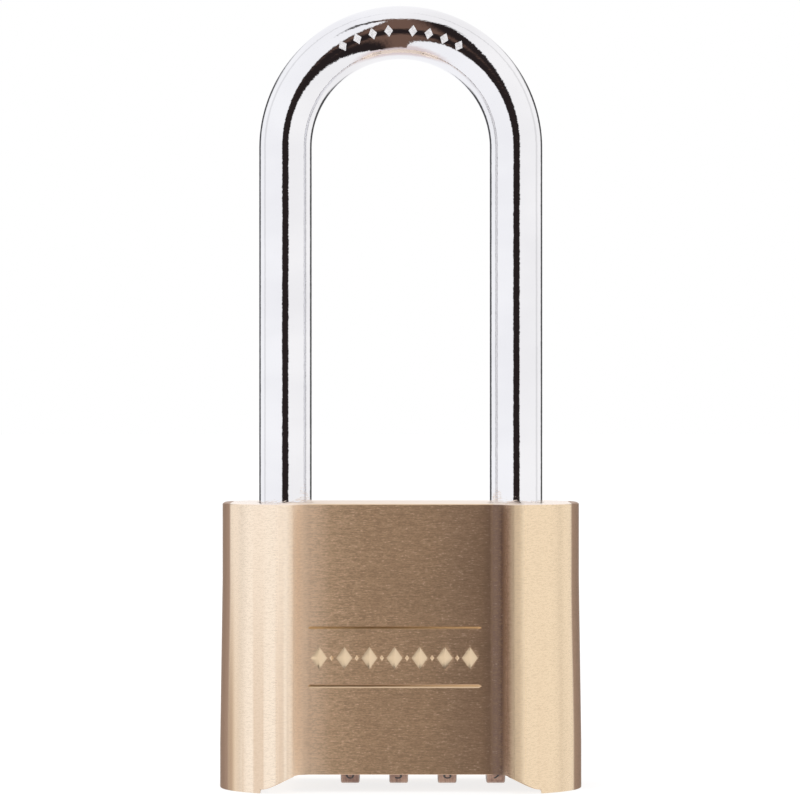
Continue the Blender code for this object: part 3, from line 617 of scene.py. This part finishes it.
# a long octahedron half sunk in the front panel: two points and a rhombus at each end of its straight part
def engravingTool(start, end, height, halfHeight, point, depth):
    y = -caseSizes["panelHalfDepth"]
    rhombus = ((0.0, -halfHeight), (depth, 0.0), (0.0, halfHeight), (-depth, 0.0))
    points = [(x, y + side, height + up) for x in (start + point, end - point) for side, up in rhombus]
    tips = [(start, y, height), (end, y, height)]
    if end - start < 2.001 * point:  # a plain lozenge needs one rhombus only
        return np.array(points[:4] + tips), [[i, (i + 1) % 4, tip] for tip in (4, 5) for i in range(4)]
    startFaces = [[i, (i + 1) % 4, 8] for i in range(4)]
    endFaces = [[4 + i, 4 + (i + 1) % 4, 9] for i in range(4)]
    return np.array(points + tips), gridFaces(2, 4) + startFaces + endFaces


# both lines and the row of lozenges, as one tool
def engravingTools():
    e = engravingSizes
    start, end = e["ends"]
    tools = [engravingTool(start, end, height, width / 2, e["linePoint"], e["lineDepth"])
             for height, width in e["lines"]]
    step = (end - start) / e["lozenges"]
    for i in range(2 * e["lozenges"] - 1):
        half, tall, depth = e["small"] if i % 2 else e["large"]
        x = start + step * (i + 1) / 2
        tools.append(engravingTool(x - half, x + half, e["rowHeight"], tall, half, depth))
    return [joined(tools)]


# several closed shapes as one list of points and faces
def joined(shapes):
    points, faces, start = [], [], 0
    for shapePoints, shapeFaces in shapes:
        points.append(np.asarray(shapePoints))
        faces += [[i + start for i in face] for face in shapeFaces]
        start += len(shapePoints)
    return np.concatenate(points), faces


pocketSizes = {  # the rest comes from the box of each piece that goes in
    "boreSlack": 0.25 * mm,
    "boreFloor": 1.4 * mm,  # how far each bore goes on below the leg's end
    "plateTop": 3.4 * mm,
    "tongueHalf": 4.0 * mm,
    "tongueLow": -0.2 * mm,  # from the plate's top
    "tongueHigh": 0.8 * mm,
    "coilRight": 17.0 * mm,  # before the bar's travel
    "barTravel": 1.9 * mm,
    "spineRise": 0.35 * mm,
    "noseLeft": 8.16 * mm,
    "camHoleRadius": 1.6 * mm,
    "screwRadius": 0.85 * mm,
}


# the two bores for the shackle's legs
def legTools():
    radius = barRadius + pocketSizes["boreSlack"]
    top = caseHigh.z + 2 * past
    return [rodTool(2, end - pocketSizes["boreFloor"], top, radius, (x, 0, 0), 96)
            for x, end in ((-legX, barLow.z), (legX, toeEnd))]


# the pocket that the dials and their comb stand in, and the one for the plate under them with its tongue
def dialTools():
    p = pocketSizes
    combLow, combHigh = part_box("detent_spring")
    dialLow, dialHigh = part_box("dial_1")
    plateLow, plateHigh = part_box("dial_frame")
    plateTop = p["plateTop"]
    tongueHalf = p["tongueHalf"] + gap
    right = combHigh.x
    dials = boxTool((combLow.x - gap, dialLow.y - gap, -past),
                    (right + gap, combHigh.y + gap, combHigh.z + gap))
    plate = boxTool((plateLow.x - gap, plateLow.y - gap, -past),
                    (right + gap, plateHigh.y + gap, plateTop + gap))
    tongue = boxTool((right, -tongueHalf, plateTop + p["tongueLow"] - gap),
                     (plateHigh.x + gap, tongueHalf, plateTop + p["tongueHigh"] + gap))
    return [dials, plate, tongue]


# the locking bar's pocket: a deep part for its coil and its spine, and a narrower one above for its nose
def barTools():
    p = pocketSizes
    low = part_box("detent_spring")[1].z - gap
    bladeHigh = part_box("locking_bar")[1]
    coilLow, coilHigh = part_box("locking_bar_spring")
    half = bladeHigh.y + gap
    spineTop = coilHigh.z + p["spineRise"] + gap
    spine = boxTool((coilLow.x - gap, -half, low),
                    (p["coilRight"] + p["barTravel"], half, spineTop))
    nose = boxTool((p["noseLeft"] - gap, -half, spineTop - gap),
                   (legX - barRadius + gap, half, bladeHigh.z + gap))
    return [spine, nose]


# the reset cam's bore and its tool hole, the retaining pin's hole and the two screws' holes
def smallTools():
    p = pocketSizes
    camLow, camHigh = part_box("reset_cam")
    pinLow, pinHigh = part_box("heel_retaining_pin")
    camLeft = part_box("detent_spring")[1].x
    camRadius = (camHigh.z - camLow.z) / 2 + gap
    pinRadius = (pinHigh.x - pinLow.x) / 2 + gap
    spindle = (0, 0, (camLow.z + camHigh.z) / 2)
    pin = ((pinLow.x + pinHigh.x) / 2, 0, (pinLow.z + pinHigh.z) / 2)
    tools = [rodTool(0, camLeft, camHigh.x + gap, camRadius, spindle),
             rodTool(0, camHigh.x, caseHigh.x + past, p["camHoleRadius"], spindle),
             rodTool(1, pinLow.y - gap, caseHigh.y + past, pinRadius, pin)]
    for name in ("frame_screw_front", "frame_screw_back"):
        screwLow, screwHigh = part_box(name)
        centre = ((screwLow.x + screwHigh.x) / 2, (screwLow.y + screwHigh.y) / 2, 0)
        tools.append(rodTool(2, -past, screwHigh.z + gap, p["screwRadius"] + gap, centre, 32))
    return tools


# the case's skin closed over and under, less its pockets and engravings
def makeCase():
    points = caseSkin()
    rows, columns = points.shape[:2]
    half = columns // 2
    faces = gridFaces(rows, columns)
    back = np.arange(half)
    front = columns - 1 - back
    for start in (0, (rows - 1) * columns):  # quads from back to front close the underside and the top
        ends = np.stack([back[:-1], back[1:], front[1:], front[:-1]], axis=1) + start
        faces += ends.tolist()
    mesh = bpy.data.meshes.new("caseSkin")
    mesh.from_pydata(points.reshape(-1, 3).tolist(), [], faces)
    turnOutwards(mesh)
    tools = legTools() + dialTools() + barTools() + smallTools() + engravingTools()
    mesh = carve(mesh, tools)
    piece = settle("case", mesh, "lock_case", brass)
    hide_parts("case_body")
    report("case made")


makeCase()


shackleSizes = {
    "toeChamfer": 0.8 * mm,
    "heelChamfer": 0.4 * mm,
    "neckRadius": 2.5 * mm,
    "neckLow": 11.0 * mm,  # heights of the neck over the feet
    "neckHigh": 25.5 * mm,
    "neckShoulder": 0.8 * mm,  # how far the neck's ends slope in before they drop
    "notchDepth": 1.9 * mm,
    "notchLow": 32.2 * mm,
    "notchHeight": 3.6 * mm,
    "notchRun": 1.0 * mm,  # length of the slopes at the notch's ends
    "sides": 96,
    "heelRows": 34,
    "bendRows": 128,
    "toeRows": 80,
}


# a round bar along a path: up the heel, half a circle over the top and down the toe
def makeShackle():
    s = shackleSizes
    radius = barRadius
    heelEnd = barLow.z
    chamfer = s["heelChamfer"]
    slope = radius - s["neckShoulder"]
    neck = [(s["neckLow"] - chamfer, radius), (s["neckLow"] - chamfer * 0.5, slope),
            (s["neckLow"], s["neckRadius"]), (s["neckHigh"], s["neckRadius"]),
            (s["neckHigh"] + chamfer * 0.5, slope), (s["neckHigh"] + chamfer, radius)]
    heel = [(heelEnd, radius - chamfer), (heelEnd + chamfer * 0.3, radius - chamfer * 0.3),
            (heelEnd + chamfer, radius), (heelEnd + 2 * chamfer, radius)] + neck
    heel += [(z, radius) for z in np.linspace(s["neckHigh"] + 2 * chamfer, bendZ, s["heelRows"])]
    tc = s["toeChamfer"]
    toe = [(z, radius) for z in np.linspace(bendZ, toeEnd + 2 * tc, s["toeRows"])]
    toe += [(toeEnd + tc, radius), (toeEnd + tc * 0.4, radius - tc * 0.4), (toeEnd, radius - tc)]
    turns = np.linspace(math.pi, 0.0, s["bendRows"])
    legRows = [(-legX, z, math.pi, r) for z, r in heel[:-1]]
    bendRows = [(legX * math.cos(a), bendZ + legX * math.sin(a), a, radius) for a in turns]
    toeRows = [(legX, z, 0.0, r) for z, r in toe[1:]]
    stations = np.array(legRows + bendRows + toeRows)
    around = fullTurn(s["sides"])
    outX = np.cos(stations[:, 2])[:, None] * np.cos(around)
    outZ = np.sin(stations[:, 2])[:, None] * np.cos(around)
    bar = stations[:, 3:4]
    points = np.stack([stations[:, 0:1] + bar * outX, bar * np.sin(around),
                       stations[:, 1:2] + bar * outZ], axis=2)
    cutNotch(points, legX - radius + s["notchDepth"])
    rows, columns = points.shape[:2]
    faces = gridFaces(rows, columns) + endCaps(rows, columns)
    piece = newPiece("shackleBar", points, faces, "shackle", "shackle_chrome", chrome, 40.0)
    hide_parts("shackle")
    report("shackle made")


# pushes the toe's inner side back to the notch's floor, with sloping ends
def cutNotch(points, floorX):
    s = shackleSizes
    low, high = s["notchLow"], s["notchLow"] + s["notchHeight"]
    z = points[..., 2]
    beyond = np.maximum(np.maximum(low - z, z - high), 0.0)
    floor = floorX - beyond * (s["notchDepth"] + s["notchRun"]) / s["notchRun"]
    onToe = points[..., 0] > floorX - s["notchDepth"] - 0.1 * mm
    points[..., 0] = np.where(onToe & (z < caseHigh.z), np.maximum(points[..., 0], floor), points[..., 0])


makeShackle()


stampSizes = {
    "degrees": (120, 112, 104, 96, 84, 76, 68, 60),  # round the bend, from the right
    "halfAlong": 0.62 * mm,
    "halfAcross": 0.85 * mm,
    "proud": 0.03 * mm,
    "sunk": 0.12 * mm,
}


# small raised lozenges on the front of the bend, each a fan of points laid on the round of the bar
def makeStamps():
    t = stampSizes
    corners = np.array([(1, 0), (0.5, 0.5), (0, 1), (-0.5, 0.5), (-1, 0), (-0.5, -0.5), (0, -1), (0.5, -0.5),
                        (0, 0)])  # eight round the edge and the middle
    around = range(8)
    shapes = []
    for degrees in t["degrees"]:
        turn = math.radians(degrees) + corners[:, 0] * t["halfAlong"] / legX
        lean = corners[:, 1] * t["halfAcross"] / barRadius
        layers = []
        for rise in (t["proud"], -t["sunk"]):
            reach = legX + (barRadius + rise) * np.sin(lean)
            layers.append(np.stack([reach * np.cos(turn), -(barRadius + rise) * np.cos(lean),
                                    bendZ + reach * np.sin(turn)], axis=1))
        top = [[i, (i + 1) % 8, 8] for i in around]
        under = [[9 + i, 9 + (i + 1) % 8, 17] for i in around]
        walls = [[i, (i + 1) % 8, 9 + (i + 1) % 8, 9 + i] for i in around]
        shapes.append((np.concatenate(layers), top + under + walls))
    newPiece("bendStamps", *joined(shapes), "shackle", "shackle_chrome", stampSteel, 60.0)


makeStamps()


dialSizes = {
    "faces": 10,
    "apothem": 7.95 * mm,
    "corner": 8.25 * mm,
    "width": 2.7 * mm,
    "chamfer": 0.25 * mm,  # radius of the rounded rims
    "bore": 2.8 * mm,
    "recessTip": 4.0 * mm,
    "recessRoot": 3.35 * mm,
    "numberHeight": 2.5 * mm,
    "numberWidth": 0.8,  # of the font's own
    "capShare": 0.7,  # a figure's height as a share of the font's size
    "numberProud": 0.02 * mm,
}


# distance from the spindle at an angle from a flat's middle: apothem / cos, no more than the blunted corner
def dialReach(turn, inset):
    d = dialSizes
    return np.minimum((d["apothem"] - inset) / np.cos(turn), d["corner"] - inset)


# a dial's rows of points: over the rounded rim from left to right, then back through the recess and the bore
def dialPoints(x, spindleZ):
    d = dialSizes
    edge = math.acos(d["apothem"] / d["corner"])
    step = 2 * math.pi / d["faces"]
    within = np.array([-edge, -edge * 0.5, 0.0, edge * 0.5, edge, (edge + step / 2) / 2, step / 2,
                       step - (edge + step / 2) / 2])
    turns = (np.arange(d["faces"])[:, None] * step + within - math.pi / 2).ravel()
    fromFlat = np.tile(np.where(within > step / 2, within - step, within), d["faces"])
    wave = np.abs(((turns / step) % 1.0) - 0.5) * 2.0  # clutch teeth, one for each number
    teeth = d["recessRoot"] + (d["recessTip"] - d["recessRoot"]) * wave
    bore = np.full(len(turns), d["bore"])
    half = d["width"] / 2
    ch = d["chamfer"]
    bend = np.linspace(0.0, math.pi / 2, 4)
    edges = [(half - ch * (1.0 - math.sin(a)), dialReach(fromFlat, ch * (1.0 - math.cos(a)))) for a in bend]
    rows = [(-along, reach) for along, reach in edges[::-1]] + edges
    rows += [(half, teeth), (0.0, teeth), (0.0, bore), (-half, bore)]
    return np.array([np.column_stack([np.full(len(turns), x + along), reach * np.cos(turns),
                                      spindleZ + reach * np.sin(turns)]) for along, reach in rows])


# one number as a thin plate: text x goes along X, text y round the dial, and it faces outwards
def numberShape(figure, x, spindleZ, angle):
    d = dialSizes
    text = bpy.data.curves.new("figure", "FONT")
    text.body = str(figure)
    text.size = d["numberHeight"] / d["capShare"]
    text.align_x = "CENTER"
    text.extrude = d["numberProud"]
    text.resolution_u = 6
    holder = bpy.data.objects.new("figure", text)
    bpy.context.scene.collection.objects.link(holder)
    mesh = bpy.data.meshes.new_from_object(holder.evaluated_get(bpy.context.evaluated_depsgraph_get()))
    bpy.data.objects.remove(holder)
    flat = np.empty(len(mesh.vertices) * 3)
    mesh.vertices.foreach_get("co", flat)
    flat = flat.reshape(-1, 3)
    flat[:, 0] *= d["numberWidth"]
    flat[:, 1] -= d["numberHeight"] / 2
    outwards = np.array([0.0, math.cos(angle), math.sin(angle)])
    upwards = np.cross(outwards, xWay)
    start = np.array([x, 0.0, spindleZ]) + d["apothem"] * outwards
    points = start + flat[:, :1] * xWay + flat[:, 1:2] * upwards + flat[:, 2:] * outwards
    faces = [list(face.vertices) for face in mesh.polygons]
    return points, faces


# four dials, each turned on by three numbers more than the one before
def makeDials():
    faceCount = dialSizes["faces"]
    step = 2 * math.pi / faceCount
    for k in range(4):
        node = f"dial_{k + 1}"
        low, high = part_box(node)
        x, spindleZ = (low.x + high.x) / 2, (low.z + high.z) / 2
        points = dialPoints(x, spindleZ)
        faces = gridFaces(*points.shape[:2], True)
        piece = newPiece(f"dialWheel{k + 1}", points, faces, node, "dial_brass", dialBrass, 14.0)
        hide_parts(node)
        shapes = [numberShape((face + 3 * k + 1) % faceCount, x, spindleZ, face * step - math.pi / 2)
                  for face in range(faceCount)]
        newPiece(f"dialNumbers{k + 1}", *joined(shapes), node, "dial_brass", numberPaint)
    report("dials made")


makeDials()


innerSizes = {  # angles are in degrees
    "edge": 0.08 * mm,
    "thinEdge": 0.04 * mm,
    "weld": 0.001 * mm,
    "flat": 0.5,
    "corner": 40.0,
}


# a CAD solid's own shape with its flat faces made whole and its edges broken
def refine(node, body, finish, edge):
    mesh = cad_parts[node].data.copy()
    flat = math.radians(innerSizes["flat"])
    bm = bmesh.new()
    bm.from_mesh(mesh)
    bmesh.ops.remove_doubles(bm, verts=bm.verts, dist=innerSizes["weld"])
    bmesh.ops.dissolve_limit(bm, angle_limit=flat, verts=bm.verts, edges=bm.edges)
    bm.to_mesh(mesh)
    bm.free()
    piece = settle(node + "_piece", mesh, body, finish)
    bevel = piece.modifiers.new("brokenEdges", "BEVEL")
    bevel.width = edge
    bevel.segments = 2
    bevel.limit_method = "ANGLE"
    bevel.angle_limit = math.radians(innerSizes["corner"])
    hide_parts(node)


# the pieces inside that have no shape of their own here
def makeInnerPieces():
    edge = innerSizes["edge"]
    refine("dial_frame", "lock_case", frameBrass, edge)
    for node in ("spindle", "reset_cam", "locking_bar"):
        refine(node, node, steel, edge)
    for node in ("frame_screw_front", "frame_screw_back", "heel_retaining_pin"):
        refine(node, "lock_case", steel, edge)
    refine("detent_spring", "lock_case", springSteel, innerSizes["thinEdge"])
    for k in range(1, 5):
        refine(f"hub_{k}", f"hub_{k}", steel, edge)
    report("inner pieces made")


makeInnerPieces()


coilSizes = {"wire": 0.25 * mm, "turns": 6, "steps": 24, "sides": 12}


# a wire of round section wound along X: centre = (x, r cos a, z + r sin a) with x falling evenly
def makeCoil():
    low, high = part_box("locking_bar_spring")
    wire, turns, sides = coilSizes["wire"], coilSizes["turns"], coilSizes["sides"]
    radius = (high.y - low.y) / 2 - wire
    height = (low.z + high.z) / 2
    turn = np.linspace(0.0, 2 * math.pi * turns, turns * coilSizes["steps"] + 1)
    x = np.linspace(high.x - wire, low.x + wire, len(turn))
    around = fullTurn(sides)
    reach = radius + wire * np.sin(around)
    points = np.stack([x[:, None] + wire * np.cos(around), np.cos(turn)[:, None] * reach,
                       height + np.sin(turn)[:, None] * reach], axis=2)
    faces = gridFaces(len(turn), sides) + endCaps(len(turn), sides)
    piece = newPiece("barCoil", points, faces, None, "spring_steel", springSteel)
    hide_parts("locking_bar_spring")
    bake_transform(piece)


washerSizes = {
    "thickness": 0.25 * mm,
    "inner": 1.5 * mm,
    "waves": 3,
    "steps": 120,
    "keep": 0.2,  # the share of its length that is left when it is pressed
    "beyond": 0.2 * mm,  # how far past its right side the pressing leads
}


# a flat ring waved along X: x = middle + height cos(waves a)
def makeWasher():
    w = washerSizes
    low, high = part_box("hub_return_spring")
    thickness = w["thickness"]
    inner, outer = w["inner"], (high.y - low.y) / 2
    turn = fullTurn(w["steps"])
    wave = (low.x + high.x) / 2 + ((high.x - low.x) / 2 - thickness / 2) * np.cos(w["waves"] * turn)
    height = (low.z + high.z) / 2
    section = ((-0.5, inner), (0.5, inner), (0.5, outer), (-0.5, outer))
    points = [np.column_stack([wave + side * thickness, r * np.cos(turn), height + r * np.sin(turn)])
              for side, r in section]
    faces = gridFaces(4, len(turn), True)
    piece = newPiece("hubWasher", np.array(points), faces, "lock_case", "spring_steel", springSteel)
    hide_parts("hub_return_spring")
    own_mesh(piece)


makeCoil()
makeWasher()
report("springs made")


stageSizes = {"halfSide": 6.0, "colour": (0.28, 0.28, 0.28), "glow": 0.80}


# a pale floor, clear from beneath so that the underside can be seen
def makeFloor():
    half = stageSizes["halfSide"]
    mesh = bpy.data.meshes.new("floor")
    corners = [(-half, -half, 0), (half, -half, 0), (half, half, 0), (-half, half, 0)]
    mesh.from_pydata(corners, [], [(0, 1, 2, 3)])
    floor = bpy.data.objects.new("floor", mesh)
    bpy.context.scene.collection.objects.link(floor)
    paint = bpy.data.materials.new("floorPaint")
    tree = emptyTree(paint)
    matt = tree.make("ShaderNodeBsdfPrincipled", {}, {
        "Base Color": (*stageSizes["colour"], 1.0), "Roughness": 1.0, "Specular IOR Level": 0.0,
        "Emission Color": (1.0, 1.0, 1.0, 1.0), "Emission Strength": stageSizes["glow"]})
    clear = tree.make("ShaderNodeBsdfTransparent", {}, {})
    below = tree.make("ShaderNodeNewGeometry", {}, {}, "Backfacing")
    mixed = tree.make("ShaderNodeMixShader", {}, {0: below, 1: matt, 2: clear})
    tree.make("ShaderNodeOutputMaterial", {}, {"Surface": mixed})
    mesh.materials.append(paint)
    floor.visible_glossy = False  # the metal mirrors the room alone


lightSizes = {  # angles are in degrees from straight in front; heights and sides are on a unit ball
    "left": (1.0, 1.005, 1.03),
    "right": (1.0, 0.995, 1.0),
    "sides": (-0.3, 0.3),  # where the left colour gives way to the right one
    "beneath": (0.80, 0.69, 0.69),
    "beneathFrom": (-0.80, -0.95),
    "frontDark": (0.022, 0.016, 0.016),
    "frontEdge": (12.0, 15.0),
    "frontWidening": (-10.0, 26.0),  # degrees that its left and right edges move out, straight up and down
    "frontHalves": (-0.10, 0.06),
    "frontHeights": (-0.99, -0.93, 0.80, 0.87),
    "frontLine": (0.74, 0.79, 0.82, 0.87),  # heights of a thin dim line across its upper end
    "frontLineEnd": (30.0, 44.0),
    "frontBrown": (0.17, 0.10, 0.075),
    "brownSides": (0.04, 0.20),
    "brownHeights": (0.1, 0.3),
    "sideGrey": ((92.0, 96.0, 103.0, 107.0), 0.82),
    "backDark": ((131.0, 139.0, 157.0, 163.0), 0.07),
    "backHeight": (0.30, 0.50),
}


# how dark the strip in front is, and its colour, which is browner high and low in the middle
def frontStrip(tree, x, z, angle):
    look = lightSizes
    leftWider, rightWider = look["frontWidening"]
    widening = leftWider + (rightWider - leftWider) * x.ramp(*look["frontHalves"])
    narrowed = angle - z.size() * widening
    front = (1.0 - narrowed.ramp(*look["frontEdge"])) * between(z, look["frontHeights"])
    line = between(z, look["frontLine"]) * (1.0 - angle.ramp(*look["frontLineEnd"]))
    brown = (1.0 - x.size().ramp(*look["brownSides"])) * z.size().ramp(*look["brownHeights"])
    return front.orMore(line), tree.mixColour(brown, look["frontDark"], look["frontBrown"])


# a white room with a dark strip in front and two behind, which draw the bands and edges on the metal
def makeLight():
    look = lightSizes
    world = bpy.data.worlds.new("studio")
    bpy.context.scene.world = world
    tree = emptyTree(world)
    x, y, z = tree.split(tree.make("ShaderNodeTexCoord", {}, {}, "Generated"))
    angle = tree.make("ShaderNodeMath", {"operation": "ARCTAN2"}, {0: x.size(), 1: -y}) * (180.0 / math.pi)
    greyAngles, grey = look["sideGrey"]
    backAngles, dark = look["backDark"]
    back = between(angle, backAngles) * (1.0 - z.size().ramp(*look["backHeight"]))
    level = (1.0 - between(angle, greyAngles) * (1.0 - grey)) * (1.0 - back * (1.0 - dark))
    levelColour = tree.make("ShaderNodeCombineColor", {}, {0: level, 1: level, 2: level})
    room = tree.mixColour(x.ramp(*look["sides"]), look["left"], look["right"])
    room = tree.mixColour(z.ramp(*look["beneathFrom"]), room, look["beneath"])
    dimmed = tree.mixColour(1.0, room, levelColour, "MULTIPLY")
    front, strip = frontStrip(tree, x, z, angle)
    light = tree.mixColour(front, dimmed, strip)
    seen = tree.make("ShaderNodeLightPath", {}, {}, "Is Camera Ray")
    shown = tree.mixColour(seen, light, (1.0, 1.0, 1.0))
    background = tree.make("ShaderNodeBackground", {}, {"Color": shown})
    tree.make("ShaderNodeOutputWorld", {}, {"Surface": background})


softBoxSizes = {"place": (-0.3, -0.2, 1.1), "target": (0.0, 0.0, 0.05), "side": 1.2, "watts": 4.2}


# a large lamp overhead, not mirrored in the metal
def makeSoftBox():
    lamp = bpy.data.lights.new("topSoftBox", "AREA")
    lamp.shape = "RECTANGLE"
    lamp.size = softBoxSizes["side"]
    lamp.size_y = softBoxSizes["side"]
    lamp.energy = softBoxSizes["watts"]
    box = bpy.data.objects.new("topSoftBox", lamp)
    place = Vector(softBoxSizes["place"])
    box.location = place
    box.rotation_euler = (Vector(softBoxSizes["target"]) - place).to_track_quat("-Z", "Y").to_euler()
    box.visible_camera = False
    box.visible_glossy = False
    bpy.context.scene.collection.objects.link(box)


cameraSizes = {"distance": 0.6, "overTop": 14.8 * mm, "aside": -0.11 * mm, "lens": 186.3, "sensor": 36.0}


# a long lens straight in front, a little over the case's top
def makeCamera():
    eye = bpy.data.cameras.new("camera")
    eye.lens = cameraSizes["lens"]
    eye.sensor_width = cameraSizes["sensor"]
    holder = bpy.data.objects.new("camera", eye)
    holder.location = (cameraSizes["aside"], -cameraSizes["distance"], caseHigh.z + cameraSizes["overTop"])
    holder.rotation_euler = (math.pi / 2, 0.0, 0.0)
    bpy.context.scene.collection.objects.link(holder)
    bpy.context.scene.camera = holder


makeFloor()
makeLight()
makeSoftBox()
makeCamera()
bpy.context.scene.view_settings.view_transform = "Standard"
report("stage ready")
